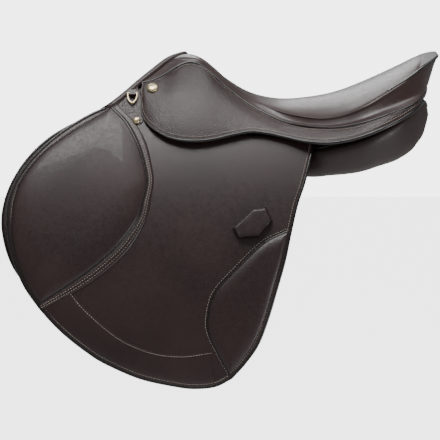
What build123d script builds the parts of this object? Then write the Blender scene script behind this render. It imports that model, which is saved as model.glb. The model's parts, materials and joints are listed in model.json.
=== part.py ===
from build123d import *
import os
from math import atan2, cos, degrees, hypot, radians, sin, sqrt

# English close-contact jumping saddle, 17 inch seat.  Millimetres, +Z up, +X towards the pommel,
# +Y towards the near (left) side.  The origin is on the centreline, in the middle of the space
# that the horse's back fills.

# ---- driving dimensions -------------------------------------------------------------------
LEATHER = 4.5                    # skirt and flap leather
COVER = 2.4                      # seat leather
ROUND_Y, ROUND_Z = -495, -318    # line along X that the flaps curve round
FLAP_IN, FLAP_OUT = 700, 704.5   # the flap's inner and outer radius about that line
SWEAT_IN, SWEAT_OUT = 676, 680   # the sweat flap's
STRAP_IN, STRAP_OUT = 687, 691   # the billets'
GUARD_IN, GUARD_OUT = 683.5, 695 # the buckle guard's
PAD_THICK = 7                    # how proud the knee pad stands
WEB_HALF = 33                    # seat web, to each side
FOLD_Z = 16                      # height of the flap's fold line, just under the skirt
PAD_RELIEF = 7                   # knee pad's clearance below the fold line
HEAD_RELIEF = 2.4                # and its fixed head's above it
SKIRT_FOLD = ((-5, 40), (215, 93))   # the skirt's fold line in side view, x and z
SKIRT_GAP = 1.2
BILLET_X = (72, 110, 148)        # the three girth straps
BILLET_WIDE = 26
BILLET_TOP, BILLET_END = 26, -268
BILLET_HOLE_R = 2.75
BILLET_HOLES = 8
HOLE_PITCH = 25
GUARD_Z = -60                    # the buckle guard's middle
BAR_Z = (40, 50)                 # stirrup bar's lower and upper face
BAR_Y = (99.5, 107.5)
BAR_REAR, BAR_FRONT = 100, 178
CATCH_PIN = (108, 45)            # the safety catch's pin in side view
PLATE_Y = (84, 88)

# Half sections of the covered seat and skirts: x, then (y, z) points from the centreline over the
# seat's edge to the welt (the fourth point), and on down the skirt.
WELT = 3
SECTIONS = (
    (212, ((0, 130), (28, 126), (52, 118), (70, 106), (85, 93), (97, 76), (106, 60))),
    (190, ((0, 138), (26, 134), (46, 124), (62, 112), (92, 84), (112, 56), (128, 34))),
    (165, ((0, 144), (22, 141), (40, 134), (55, 122), (82, 98), (110, 62), (133, 22))),
    (140, ((0, 147), (18, 145.5), (32, 141), (43, 134), (82, 96), (113, 60), (134, 20))),
    (118, ((0, 139), (20, 137), (36, 132), (47, 126), (84, 90), (113, 58), (134, 20))),
    (95, ((0, 117), (22, 115), (42, 110), (56, 103), (84, 80), (111, 58), (132, 24))),
    (68, ((0, 99), (24, 97), (46, 91), (64, 82), (88, 67), (111, 51), (129, 28))),
    (37, ((0, 88), (30, 85), (56, 76), (76, 64), (96, 54), (114, 44), (129, 28))),
    (7, ((0, 83), (34, 80), (66, 68), (90, 49), (104, 44), (118, 37), (133, 20))),
    (-22, ((0, 84), (40, 81), (80, 66), (108, 43), (119, 38), (130, 32), (142, 18))),
    (-51, ((0, 87), (46, 84), (92, 68), (124, 42), (134, 36), (143, 29), (151, 15))),
    (-80, ((0, 94), (52, 91), (110, 72), (138, 44), (147, 37), (154, 30), (158, 18))),
    (-109, ((0, 106), (60, 101), (122, 80), (147, 51), (154, 43), (160, 35), (163, 22))),
    (-138, ((0, 118), (62, 114), (116, 96), (148, 61), (153, 53), (158, 46), (160, 34))),
    (-168, ((0, 132), (56, 130), (100, 113), (138, 72), (143, 66), (146, 58), (147, 46))),
    (-195, ((0, 146), (42, 143), (74, 126), (106, 92), (112, 84), (115, 76), (116, 64))),
    (-215, ((0, 151), (26, 150), (48, 140), (64, 116), (68, 110), (70, 104), (71, 96))),
    (-227, ((0, 149), (8, 148), (14, 144), (20, 136), (22, 130), (23, 124), (24, 118))),
)

# Side-view outlines, x and z.
FLAP_FRONT = ((253, 73), (312, 43), (353, 10), (384, -33), (394, -82), (387, -130), (368, -178),
              (346, -206))
FLAP_FOOT = ((346, -206), (306, -247), (257, -281), (184, -309), (132, -316), (81, -302))
FLAP_BACK = ((81, -302), (45, -255), (20, -183), (0, -106), (-20, -37), (-36, 22))
FLAP_HEAD = ((-36, 22), (40, 32), (180, 35), (204, 54), (213, 76), (214.5, 104), (253, 73))
SWEAT_FRONT = ((246, 58), (287, 52), (343, 25), (386, -24), (405, -78), (400, -122), (366, -178))
SWEAT_REST = ((366, -178), (270, -262), (132, -300), (70, -262), (30, -180), (6, -100), (-14, -36),
              (40, 4), (90, 24), (198, 26), (246, 58))
KNEE_BACK = ((345, -196), (297, -166), (239, -118), (214, -85), (202, -33), (215, 19), (251, 66))
KNEE_FRONT = ((251, 66), (308, 37), (348, 4), (377, -36), (387, -82), (380, -130), (362, -176),
              (345, -196))
CALF_FRONT = ((5, -104), (36, -117), (75, -153), (104, -186), (114, -220), (110, -250), (86, -294))
CALF_BACK = ((86, -294), (51, -254), (26, -183), (5, -104))
BAND_TOP = ((310, -184), (287, -204), (257, -231), (189, -266), (150, -270), (108, -264))
BAND_FOOT = ((92, -296), (132, -311), (184, -304), (254, -277), (303, -243), (338, -207))
SKIRT_EDGE = ((212, 74), (203, 53), (189, 39), (168, 30), (139, 25), (109, 27), (79, 34), (53, 38),
              (19, 34), (-10, 27), (-44, 23), (-66, 23), (-86, 28), (-108, 35), (-129, 43), (-151, 53),
              (-175, 66), (-200, 86))
HEAD_PLANE = Plane(origin=(169, 0, 146), x_dir=(0, 1, 0), z_dir=(1, 0, 1.2))

os.makedirs("parts", exist_ok=True)


# ---- helpers ------------------------------------------------------------------------------
def keep(piece, name):
    """Labels a finished piece and writes it."""
    piece.part.label = name
    export_step(piece.part, f"parts/{name}.step")


def keep_pair(piece, name):
    """Writes a near-side piece and its twin on the off side."""
    keep(piece, f"{name}_left")
    with BuildPart() as twin:
        mirror(piece.part, about=Plane.XZ)
    keep(twin, f"{name}_right")


def round_y(radius, z):
    """How far out the flaps' round wall of a given radius stands at a height."""
    return ROUND_Y + sqrt(radius**2 - (z - ROUND_Z) ** 2)


def prism(runs, y_from=0, y_to=300):
    """A side-view outline, given as runs of points, carried across the saddle."""
    with BuildPart() as block:
        with BuildSketch(Plane.XZ.offset(-y_from)):
            with BuildLine():
                for run in runs:
                    if len(run) == 2:
                        Line(*run)
                    else:
                        Spline(*run)
            make_face()
        extrude(amount=y_from - y_to)
    return block


def curved_sheet(runs, inner, outer):
    """A sheet on the flaps' round wall between two radii, with a side-view outline."""
    with BuildPart() as sheet:
        add(prism(runs).part)
        with BuildSketch(Plane.YZ.offset(-250)):
            with Locations((ROUND_Y, ROUND_Z)):
                Circle(outer)
                Circle(inner, mode=Mode.SUBTRACT)
        extrude(amount=700, mode=Mode.INTERSECT)
    return sheet


def rectangle_run(x0, z0, x1, z1):
    """The four sides of an upright rectangle in side view."""
    return (((x0, z0), (x1, z0)), ((x1, z0), (x1, z1)), ((x1, z1), (x0, z1)), ((x0, z1), (x0, z0)))


def inset(points, depth):
    """A half section moved inwards along its own normals."""
    moved = []
    for i, (y, z) in enumerate(points):
        y0, z0 = points[max(i - 1, 0)]
        y1, z1 = points[min(i + 1, len(points) - 1)]
        long = hypot(y1 - y0, z1 - z0)
        across, down = (0.0, -1.0) if y == 0 else ((z1 - z0) / long, (y0 - y1) / long)
        moved.append((y + across * depth, z + down * depth))
    return moved


def between(table, x):
    """The entry of a table at x, in proportion between the two rows beside it."""
    rows = sorted(table)
    for (x0, low), (x1, high) in zip(rows, rows[1:]):
        if x0 <= x <= x1:
            share = (x - x0) / (x1 - x0)
            return mix(low, high, share)
    raise ValueError(f"{x} is outside the table")


def mix(low, high, share):
    """Numbers, or nested tuples of them, in proportion between two."""
    if isinstance(low, (int, float)):
        return low + (high - low) * share
    return tuple(mix(p, q, share) for p, q in zip(low, high))


def out_at(points, z):
    """How far out a half section stands at a height on its skirt."""
    for (y0, z0), (y1, z1) in zip(points[WELT:], points[WELT + 1:]):
        if z1 <= z <= z0:
            return y0 + (y1 - y0) * (z0 - z) / (z0 - z1)
    raise ValueError(f"{z} is off the skirt")


def skirt_strip(stations):
    """Skirt leather through stations of x, upper z and lower z, in four panels down."""
    with BuildPart() as strip:
        for i in range(4):
            for x, high, low in stations:
                points = between(SECTIONS, x)
                heights = [high + (low - high) * n / 4 for n in range(5)]
                skin = [(out_at(points, z), z) for z in heights]
                flesh = inset(skin, LEATHER)
                with BuildSketch(Plane.YZ.offset(x)):
                    with BuildLine():
                        Polyline(skin[i], skin[i + 1], flesh[i + 1], flesh[i], close=True)
                    make_face()
            loft(ruled=True)
    return strip


# ---- seat ---------------------------------------------------------------------------------
SEAT_STATIONS = SECTIONS[2:]


def seat_layer(stations, top, thick, narrow=0):
    """A layer of the seat from side to side, a depth under its surface."""
    with BuildPart() as layer:
        for x, points in stations:
            skin = inset(points[:WELT + 1], top)
            flesh = inset(points[:WELT + 1], top + thick)
            skin = [(y * (1 - narrow), z) for y, z in skin]
            flesh = [(y * (1 - narrow), z) for y, z in flesh]
            with BuildSketch(Plane.YZ.offset(x)):
                with BuildLine():
                    Polyline(*[(-y, z) for y, z in skin[:0:-1]], *skin, *flesh[::-1],
                             *[(-y, z) for y, z in flesh[1:]], close=True)
                make_face()
        loft(ruled=True)
    return layer


def seat_cover():
    """Blocked leather seat, from welt to welt."""
    with BuildPart() as cover:
        add(seat_layer(SEAT_STATIONS, 0, COVER).part)
    keep(cover, "seat_cover")


def seat_foam():
    """Foam that shapes the seat, over the webs."""
    with BuildPart() as foam:
        add(seat_layer(SEAT_STATIONS[:-1], COVER + 0.3, 12, 0.02).part)
    keep(foam, "seat_foam")


def seat_webbing():
    """The broad web strained from head to cantle under the foam."""
    top = ((95, 92), (68, 75), (37, 63), (7, 60), (-51, 64), (-109, 83), (-150, 101), (-190, 121))
    with BuildPart() as web:
        with BuildSketch(Plane.XZ.offset(-WEB_HALF)):
            with BuildLine():
                Polyline(*top, *[(x, z - 1.4) for x, z in top[::-1]], close=True)
            make_face()
        extrude(amount=2 * WEB_HALF)
    keep(web, "seat_webbing")


def skirts():
    """The small flaps, stitched along the welt; the front lobe folds up off the stirrup bar."""
    (x0, z0), (x1, z1) = SKIRT_FOLD
    front = [x for x, _ in SECTIONS if x > x0] + [x0]
    rear = [x0 - SKIRT_GAP] + [x for x, _ in SECTIONS if -200 < x < x0]
    lobe, upper = [], []
    for x in front:
        fold = z0 + (z1 - z0) * (x - x0) / (x1 - x0)
        welt = between(SECTIONS, x)[WELT][1]
        lobe.append((x, fold - SKIRT_GAP, between(SKIRT_EDGE, x)))
        upper.append((x, welt - SKIRT_GAP, fold))
    lower = [(x, between(SECTIONS, x)[WELT][1] - SKIRT_GAP, between(SKIRT_EDGE, x)) for x in rear]
    with BuildPart() as skirt:
        add(skirt_strip(lobe).part)
    keep_pair(skirt, "skirt")
    with BuildPart() as skirt_top:
        add(skirt_strip(upper).part)
        add(skirt_strip([(x0, *upper[-1][1:]), (x0 - SKIRT_GAP, *upper[-1][1:])]).part)
        add(skirt_strip(lower).part)
    keep_pair(skirt_top, "skirt_top")


def pommel_facing():
    """Rolled facing round the front of the head."""
    outer = ((0, 0), (12, -2), (28, -18), (45, -44), (60, -70), (75, -96), (84, -112))
    inner = ((72, -112), (63, -96), (49, -72), (35, -50), (20, -28), (8, -14), (0, -12))
    with BuildPart() as facing:
        with BuildSketch(HEAD_PLANE.offset(0.5)):
            with BuildLine():
                Polyline(*outer, *inner, close=True)
            make_face()
        extrude(amount=6)
        mirror(about=Plane.XZ)
    keep(facing, "pommel_facing")


# ---- flaps --------------------------------------------------------------------------------
def flaps():
    """The big flap below its fold, and the nailed head above it."""
    with BuildPart() as whole:
        head = zip(FLAP_HEAD, FLAP_HEAD[1:])
        add(curved_sheet((FLAP_FRONT, FLAP_FOOT, FLAP_BACK, *head), FLAP_IN, FLAP_OUT).part)
    with BuildPart() as flap:
        add(whole.part)
        split(bisect_by=Plane.XY.offset(FOLD_Z - 0.4), keep=Keep.BOTTOM)
    keep_pair(flap, "flap")
    with BuildPart() as flap_head:
        add(whole.part)
        split(bisect_by=Plane.XY.offset(FOLD_Z), keep=Keep.TOP)
    keep_pair(flap_head, "flap_head")


def knee_pads():
    """The padded insert of the flap's front, parted at the fold."""
    with BuildPart() as whole:
        add(curved_sheet((KNEE_BACK, KNEE_FRONT), FLAP_OUT + 0.1, FLAP_OUT + PAD_THICK).part)
    with BuildPart() as knee_pad:
        add(whole.part)
        split(bisect_by=Plane.XY.offset(FOLD_Z - PAD_RELIEF), keep=Keep.BOTTOM)
    keep_pair(knee_pad, "knee_pad")
    with BuildPart() as knee_pad_head:
        add(whole.part)
        split(bisect_by=Plane.XY.offset(FOLD_Z + HEAD_RELIEF), keep=Keep.TOP)
    keep_pair(knee_pad_head, "knee_pad_head")


def flap_trim():
    """Calf pad, lower band and strap keeper, sewn on the flap's outside."""
    with BuildPart() as calf_pad:
        add(curved_sheet((CALF_FRONT, CALF_BACK), FLAP_OUT + 0.1, FLAP_OUT + 6).part)
    keep_pair(calf_pad, "calf_pad")
    band = (BAND_TOP, (BAND_TOP[-1], BAND_FOOT[0]), BAND_FOOT, (BAND_FOOT[-1], BAND_TOP[0]))
    with BuildPart() as lower_band:
        add(curved_sheet(band, FLAP_OUT + 0.1, FLAP_OUT + 1.6).part)
    keep_pair(lower_band, "lower_band")


KEEPER_CORNERS = ((78, -95), (73, -107), (44, -105), (27, -85), (34, -69), (52, -71))
KEEPER_SLOT = ((86, -112), (92, -96), (26, -68), (19, -84))


def keepers():
    """Flat hexagonal loop that the girth strap's end slides through."""
    def closed(points):
        return tuple(zip(points, points[1:] + points[:1]))
    with BuildPart() as keeper:
        add(curved_sheet(closed(KEEPER_CORNERS), FLAP_OUT + 0.1, FLAP_OUT + 10).part)
        add(curved_sheet(closed(KEEPER_SLOT), FLAP_OUT + 1.5, FLAP_OUT + 8).part, mode=Mode.SUBTRACT)
    keep_pair(keeper, "strap_keeper")


def sweat_flaps():
    with BuildPart() as sweat_flap:
        add(curved_sheet((SWEAT_FRONT, *(zip(SWEAT_REST, SWEAT_REST[1:]))), SWEAT_IN, SWEAT_OUT).part)
    keep_pair(sweat_flap, "sweat_flap")


def blocks():
    """Foam blocks on the sweat flap that hold the rider's knee and thigh under the flap."""
    knee = (((366, -60), (352, -130), (330, -165)), ((330, -165), (300, -140)),
            ((300, -140), (318, -60), (300, 0)), ((300, 0), (330, 8)), ((330, 8), (360, -30), (366, -60)))
    with BuildPart() as knee_block:
        add(curved_sheet(knee, SWEAT_OUT + 0.1, SWEAT_OUT + 14).part)
    keep_pair(knee_block, "knee_block")
    thigh = (((-2, -62), (8, -100), (24, -150)), ((24, -150), (36, -146)),
             ((36, -146), (30, -100), (26, -58)), ((26, -58), (-2, -62)))
    with BuildPart() as thigh_block:
        add(curved_sheet(thigh, SWEAT_OUT + 0.1, SWEAT_OUT + 12).part)
    keep_pair(thigh_block, "thigh_block")


# ---- girthing -----------------------------------------------------------------------------
def billets():
    """Three girth straps a side, punched for the buckles and pointed at the end."""
    half = BILLET_WIDE / 2
    for x, place in zip(BILLET_X, ("rear", "middle", "front")):
        corners = ((x - half, BILLET_TOP), (x + half, BILLET_TOP), (x + half, BILLET_END),
                   (x, BILLET_END - 14), (x - half, BILLET_END), (x - half, BILLET_TOP))
        runs = tuple(zip(corners, corners[1:]))
        with BuildPart() as billet:
            add(curved_sheet(runs, STRAP_IN, STRAP_OUT).part)
            for hole in range(BILLET_HOLES):
                angle = hole_angle(hole)
                with Locations(strap_plane(x, angle).location):
                    Cylinder(BILLET_HOLE_R, 30, mode=Mode.SUBTRACT)
        keep_pair(billet, f"billet_{place}")


def hole_angle(hole):
    """A billet hole's angle up from the round's level line, in degrees."""
    return degrees(atan2(BILLET_END - ROUND_Z, STRAP_OUT)) + degrees((hole + 1) * HOLE_PITCH / STRAP_OUT)


def strap_plane(x, angle):
    """A plane on the billet's middle, facing out along the round's radius."""
    middle = (STRAP_IN + STRAP_OUT) / 2
    y, z = cos(radians(angle)), sin(radians(angle))
    return Plane(origin=(x, ROUND_Y + middle * y, ROUND_Z + middle * z), x_dir=(1, 0, 0), z_dir=(0, y, z))


def billet_webs():
    """Nylon webs that carry the billets from the tree."""
    with BuildPart() as web:
        for x in BILLET_X:
            runs = rectangle_run(x - 12, BILLET_TOP + 1.7, x + 12, 39)
            add(curved_sheet(runs, STRAP_IN, STRAP_OUT - 1).part)
    keep_pair(web, "billet_webs")


def buckle_guards():
    """Leather guard that the three billets thread through, over the girth's buckles."""
    outline = (((48, GUARD_Z + 32), (172, GUARD_Z + 32)), ((172, GUARD_Z + 32), (175, GUARD_Z - 10)),
               ((175, GUARD_Z - 10), (154, GUARD_Z - 34)), ((154, GUARD_Z - 34), (66, GUARD_Z - 34)),
               ((66, GUARD_Z - 34), (45, GUARD_Z - 10)), ((45, GUARD_Z - 10), (48, GUARD_Z + 32)))
    with BuildPart() as guard:
        add(curved_sheet(outline, GUARD_IN, GUARD_OUT).part)
        for x in BILLET_X:
            slot = rectangle_run(x - 15, GUARD_Z - 60, x + 15, GUARD_Z + 60)
            add(curved_sheet(slot, STRAP_IN - 1.4, STRAP_OUT + 1.4).part, mode=Mode.SUBTRACT)
    keep_pair(guard, "buckle_guard")


# ---- tree ---------------------------------------------------------------------------------
TREE_TOP = ((-206, 118), (-150, 90), (-80, 59), (-20, 46), (40, 43), (100, 63), (160, 94))
TREE_THICK = 10
RAIL_OUT, RAIL_IN = 66, 38
CANTLE_OUT, CANTLE_IN = 84, 60


def tree():
    """Laminated beech tree: two rails that meet the bent cantle behind, and the head arch."""
    with BuildPart() as rails:
        with BuildSketch(Plane.XY.offset(30)):
            with BuildLine():
                outer = Spline((160, RAIL_OUT + 10), (60, RAIL_OUT), (-60, RAIL_OUT + 6), (-130, CANTLE_OUT),
                               (-185, 62), (-204, 0))
                mirror(outer, about=Plane.XZ)
                Line((160, RAIL_OUT + 10), (160, -RAIL_OUT - 10))
            make_face()
            with BuildLine():
                inner = Spline((150, RAIL_IN), (60, RAIL_IN), (-60, RAIL_IN + 6), (-130, CANTLE_IN),
                               (-170, 40), (-184, 0))
                mirror(inner, about=Plane.XZ)
                Line((150, RAIL_IN), (150, -RAIL_IN))
            make_face(mode=Mode.SUBTRACT)
        extrude(amount=110)
        with BuildSketch(Plane.XZ.offset(-100)):
            with BuildLine():
                Polyline(*TREE_TOP, *[(x, z - TREE_THICK) for x, z in TREE_TOP[::-1]], close=True)
            make_face()
        extrude(amount=200, mode=Mode.INTERSECT)
        with Locations((120, 0, 75)):
            Box(50, 2 * RAIL_IN - 16, 80, mode=Mode.SUBTRACT)
    keep(rails, "tree")
    with BuildPart() as head:
        with BuildSketch(Plane.YZ.offset(166)):
            with BuildLine():
                arch = Spline((84, 8), (80, 60), (58, 100), (0, 124), (-58, 100), (-80, 60), (-84, 8))
                Line((84, 8), (70, 8))
                Spline((70, 8), (66, 56), (46, 90), (0, 110), (-46, 90), (-66, 56), (-70, 8))
                Line((-70, 8), (-84, 8))
            make_face()
        extrude(amount=20)
    keep(head, "tree_head")
    with BuildPart() as plate:
        with BuildSketch(Plane.YZ.offset(162.5)):
            with BuildLine():
                Spline((82, 20), (78, 60), (57, 98), (0, 121), (-57, 98), (-78, 60), (-82, 20))
                Line((82, 20), (73, 20))
                Spline((73, 20), (68, 57), (48, 90), (0, 112), (-48, 90), (-68, 57), (-73, 20))
                Line((-73, 20), (-82, 20))
            make_face()
        extrude(amount=3)
    keep(plate, "head_plate")


# ---- stirrup bars -------------------------------------------------------------------------
def level_out(x, y, z):
    """A plane that faces straight out on the near side."""
    return Plane(origin=(x, y, z), x_dir=(1, 0, 0), z_dir=(0, 1, 0))


def stirrup_bars():
    """Forged bar, open to the rear, with its riveted plate and hinged safety catch."""
    pin_x, pin_z = CATCH_PIN
    middle_y = (BAR_Y[0] + BAR_Y[1]) / 2
    with BuildPart() as bar:
        with BuildSketch(Plane.XY.offset(BAR_Z[0])):
            with BuildLine():
                Polyline((BAR_REAR, BAR_Y[0]), (166, BAR_Y[0]), (166, PLATE_Y[1]), (104, PLATE_Y[1]),
                         (104, PLATE_Y[0] + 0.5), (184, PLATE_Y[0] + 0.5), (184, 96), (BAR_FRONT, BAR_Y[1]),
                         (BAR_REAR, BAR_Y[1]), close=True)
            make_face()
        extrude(amount=BAR_Z[1] - BAR_Z[0])
        with Locations((BAR_REAR + 6, middle_y, pin_z)):
            Box(22, 4.6, 20, mode=Mode.SUBTRACT)
        with Locations(level_out(pin_x, middle_y, pin_z).location):
            Cylinder(1.56, 20, mode=Mode.SUBTRACT)
        for x in (116, 176):
            with Locations(level_out(x, 86, pin_z).location):
                Cylinder(2.55, 10, mode=Mode.SUBTRACT)
    keep_pair(bar, "stirrup_bar")
    with BuildPart() as catch:
        with BuildSketch(Plane.XZ.offset(-middle_y + 2)):
            with BuildLine():
                Polyline((112, 41.5), (112, 48.5), (96, 49), (80, 49), (76, 46), (78, 42), (96, 41),
                         close=True)
            make_face()
        extrude(amount=-4)
        with Locations(level_out(pin_x, middle_y, pin_z).location):
            Cylinder(1.5, 7.8)
    keep_pair(catch, "bar_catch")


def bar_rivets():
    """The two rivets that hold each bar's plate."""
    with BuildPart() as rivets:
        for x in (116, 176):
            with Locations(level_out(x, PLATE_Y[0] + 2.25, CATCH_PIN[1]).location):
                Cylinder(2.5, 3.4)
    keep_pair(rivets, "bar_rivets")


# ---- panels -------------------------------------------------------------------------------
PANEL_SECTIONS = (
    (-200, ((50, 62), (72, 74), (94, 72), (98, 54), (78, 42), (56, 46))),
    (-160, ((36, 34), (70, 52), (122, 50), (136, 24), (98, 0), (44, 12))),
    (-100, ((30, 14), (66, 34), (136, 30), (146, 4), (100, -24), (38, -4))),
    (-40, ((28, 8), (60, 26), (108, 22), (116, -6), (96, -30), (36, -8))),
    (40, ((28, 8), (52, 22), (72, 20), (84, -14), (70, -34), (34, -6))),
    (120, ((34, 14), (48, 26), (60, 20), (94, -34), (82, -70), (40, 2))),
    (200, ((44, 30), (48, 35), (55, 26), (92, -26), (82, -56), (50, 18))),
)


def panels():
    """Flocked panels that rest on the horse's back, either side of the channel."""
    with BuildPart() as panel:
        for x, points in PANEL_SECTIONS:
            with BuildSketch(Plane.YZ.offset(x)):
                with BuildLine():
                    Polyline(*points, close=True)
                make_face()
        loft(ruled=True)
    keep_pair(panel, "panel")


# ---- small fittings -----------------------------------------------------------------------
def facing_plane(x, y, z, tilt):
    """A plane on the near side whose outward direction is tilted up from level."""
    return Plane(origin=(x, y, z), x_dir=(1, 0, 0), z_dir=(0, cos(radians(tilt)), sin(radians(tilt))))


def fittings():
    """Skirt nail, flap stud, and the dee ring in its chape."""
    with BuildPart() as nail:
        with BuildSketch(facing_plane(195, 80, 98, 46)):
            Circle(8.5)
        extrude(amount=4)
    keep_pair(nail, "skirt_nail")
    with BuildPart() as stud:
        with BuildSketch(facing_plane(217, round_y(FLAP_OUT + 0.3, 52), 52, 30)):
            Circle(5.5)
        extrude(amount=5)
    keep_pair(stud, "flap_stud")
    ring_plane = dee_plane()
    with BuildPart() as ring:
        with BuildSketch(ring_plane.offset(-1.5)):
            with BuildLine():
                Line((-DEE_HALF, -1.5), (DEE_HALF, -1.5))
                Line((DEE_HALF, -1.5), (DEE_HALF, 8))
                ThreePointArc((DEE_HALF, 8), (0, 19), (-DEE_HALF, 8))
                Line((-DEE_HALF, 8), (-DEE_HALF, -1.5))
            make_face()
            offset(amount=-3, mode=Mode.SUBTRACT)
        extrude(amount=3)
    keep_pair(ring, "dee_ring")
    with BuildPart() as chape:
        with BuildSketch(ring_plane.offset(-3.4)):
            Rectangle(9, 8)
        extrude(amount=6.8)
        with Locations(Plane(origin=ring_plane.origin, z_dir=(1, 0, 0)).location):
            Cylinder(2.35, 20, mode=Mode.SUBTRACT)
    keep_pair(chape, "dee_chape")


DEE_HALF = 8


def dee_plane():
    """The dee ring's plane at rest, flat over the flap's head, its y running down the ring."""
    height = 91
    radius = FLAP_OUT + 4
    y, z = sqrt(radius**2 - (height - ROUND_Z) ** 2) / radius, (height - ROUND_Z) / radius
    return Plane(origin=(223.5, ROUND_Y + radius * y, height), x_dir=(1, 0, 0), z_dir=(0, y, z))


def main():
    seat_cover()
    seat_foam()
    seat_webbing()
    pommel_facing()
    skirts()
    flaps()
    knee_pads()
    flap_trim()
    keepers()
    sweat_flaps()
    blocks()
    billets()
    billet_webs()
    buckle_guards()
    tree()
    stirrup_bars()
    bar_rivets()
    panels()
    fittings()


if __name__ == "__main__":
    main()
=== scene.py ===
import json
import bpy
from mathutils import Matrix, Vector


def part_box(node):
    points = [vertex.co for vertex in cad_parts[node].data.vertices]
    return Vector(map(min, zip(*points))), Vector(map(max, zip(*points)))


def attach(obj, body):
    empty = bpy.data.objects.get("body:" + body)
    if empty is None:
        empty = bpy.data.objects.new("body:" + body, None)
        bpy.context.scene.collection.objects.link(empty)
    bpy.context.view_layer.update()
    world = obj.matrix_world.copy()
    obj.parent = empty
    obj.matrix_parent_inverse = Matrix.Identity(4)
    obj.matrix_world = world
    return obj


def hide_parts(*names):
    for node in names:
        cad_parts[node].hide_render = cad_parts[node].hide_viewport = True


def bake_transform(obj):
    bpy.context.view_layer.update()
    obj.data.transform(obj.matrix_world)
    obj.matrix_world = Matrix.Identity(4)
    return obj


bl_info = {
    "name": "English Saddle Maker",
    "version": (1, 0, 0),
    "blender": (4, 5, 0),
    "location": "View3D > Sidebar > Saddle",
    "description": "Builds the leather, pads, stitching and fittings of a jumping saddle round its frame",
    "category": "Add Mesh",
}

import bmesh
import bpy
import numpy as np
from mathutils import Vector

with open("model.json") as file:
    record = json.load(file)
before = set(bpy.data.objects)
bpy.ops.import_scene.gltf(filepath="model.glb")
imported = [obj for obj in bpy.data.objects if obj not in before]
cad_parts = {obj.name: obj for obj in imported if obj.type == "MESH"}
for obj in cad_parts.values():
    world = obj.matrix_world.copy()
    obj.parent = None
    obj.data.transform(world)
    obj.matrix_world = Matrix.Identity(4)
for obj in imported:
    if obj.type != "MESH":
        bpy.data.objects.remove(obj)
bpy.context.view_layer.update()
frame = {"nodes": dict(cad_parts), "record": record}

# ---- the saddle's own shape, in millimetres: +X forward, +Y near side, +Z up -----------------
MM = 0.001
SIDES = (("left", 1), ("right", -1))
ROUND_Y, ROUND_Z = -495.0, -318.0      # the line along X that the flaps curve round
FLAP_R, FLAP_THICK = 700.0, 4.5
SWEAT_R, SWEAT_THICK = 676.0, 4.0
# The side-view points that the outlines of the flap, knee insert and calf insert shrink to.
FLAP_CENTRE, KNEE_CENTRE, CALF_CENTRE = (190, -120), (296, -68), (72, -212)
FLAP_FOLD = ((0.18, 0.125, 0.026), (0.18, 0.125, 0.004))     # metres, where the flap bends
SKIRT_FOLD = ((-0.0064, 0.1195, 0.0458), (-0.0022, 0.1195, 0.0283))
OUT_UP = np.array((0.0, 0.77, 0.63))   # the skirt's usual outward direction
MERGE, FINE_MERGE = 0.02, 0.001        # how close two points are before they become one
# The camera: sensor width in mm, focal length and frame width in the same unit, metres, degrees.
SENSOR, FOCAL, FRAME, CAMERA_AWAY, CAMERA_PITCH = 36.0, 1733.3, 440, 2.6, 5.0
# Each soft lamp: name, place and width in metres, power in watts.
LAMPS = (("key", (0.42, 0.80, 1.85), 1.1, 36), ("top", (-0.45, 0.05, 1.8), 0.9, 13),
         ("rear", (-1.6, 1.3, -0.55), 0.8, 13), ("far", (0.5, -1.9, 1.5), 1.4, 22))

# Rows across the covered seat: centre (x, z), ridge (x, y, z), welt (x, y, z), front to rear.
SEAT_ROWS = (
    ((157, 146), (187, 39, 130), (211, 67.5, 105)),
    ((149, 147.6), (171, 34, 138), (188, 61.5, 112)),
    ((139, 147.6), (149, 30, 142), (152, 45.5, 132.5)),
    ((122, 140.5), (125, 30, 138.5), (131, 44.5, 133)),
    ((104, 126), (104, 35, 121.5), (108, 51, 116.5)),
    ((88, 112), (86, 41, 107), (88, 58.5, 98)),
    ((57, 93.5), (57, 52, 85), (60, 69, 77)),
    ((26, 84.5), (26, 67, 72), (26, 82, 58.5)),
    ((-5, 82.3), (-5, 85, 63), (-5, 98.5, 46.8)),
    ((-48, 87), (-46, 109, 58), (-48, 124.5, 42)),
    ((-80, 94.5), (-80, 122, 64), (-80, 139.5, 44)),
    ((-111, 106), (-110, 129, 77), (-109, 148.5, 51.2)),
    ((-142, 119.5), (-141, 122, 95), (-138, 149.5, 61.2)),
    ((-173, 134), (-170, 106, 112), (-164, 141, 70.3)),
    ((-194, 144.5), (-192, 82, 126), (-184, 123, 79.8)),
    ((-210, 150), (-209, 56, 136), (-196, 93, 88.5)),
    ((-219, 151.5), (-221, 29, 144), (-204, 50, 97)),
    ((-222, 151.5), (-226, 0, 147), (-207, 0, 101)),
)
# The skirt's lower edge beside each welt point, front to rear.
SKIRT_ROWS = (
    ((209.5, 68.5, 105), (211, 72, 100)),
    ((201, 66, 108.5), (211, 91, 76)),
    ((188, 62.5, 112), (206, 107, 56)),
    ((170, 54.5, 120), (191, 121, 41)),
    ((152, 46.5, 132.5), (168, 130, 29.6)),
    ((134, 44.5, 134), (139, 134, 25.4)),
    ((118, 48, 126.5), (109, 132, 27.4)),
    ((95, 57, 104), (79, 128, 34)),
    ((68, 66.5, 82), (53, 125, 38)),
    ((37, 78.5, 63.5), (28, 126, 35.5)),
    ((7, 92.5, 49.5), (4, 130, 30.5)),
    ((-22, 110.5, 43), (-22, 138.5, 25)),
    ((-51, 126.5, 42), (-51, 149.5, 23)),
    ((-80, 140.5, 44), (-80, 157.5, 26.5)),
    ((-109, 149.5, 51.2), (-109, 162, 35)),
    ((-138, 150.5, 61.2), (-138, 159, 47)),
    ((-164, 142, 70.3), (-163, 147, 59.5)),
    ((-184, 124, 79.8), (-182, 127, 71)),
    ((-196, 94, 88.5), (-195, 96, 80)),
)
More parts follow.
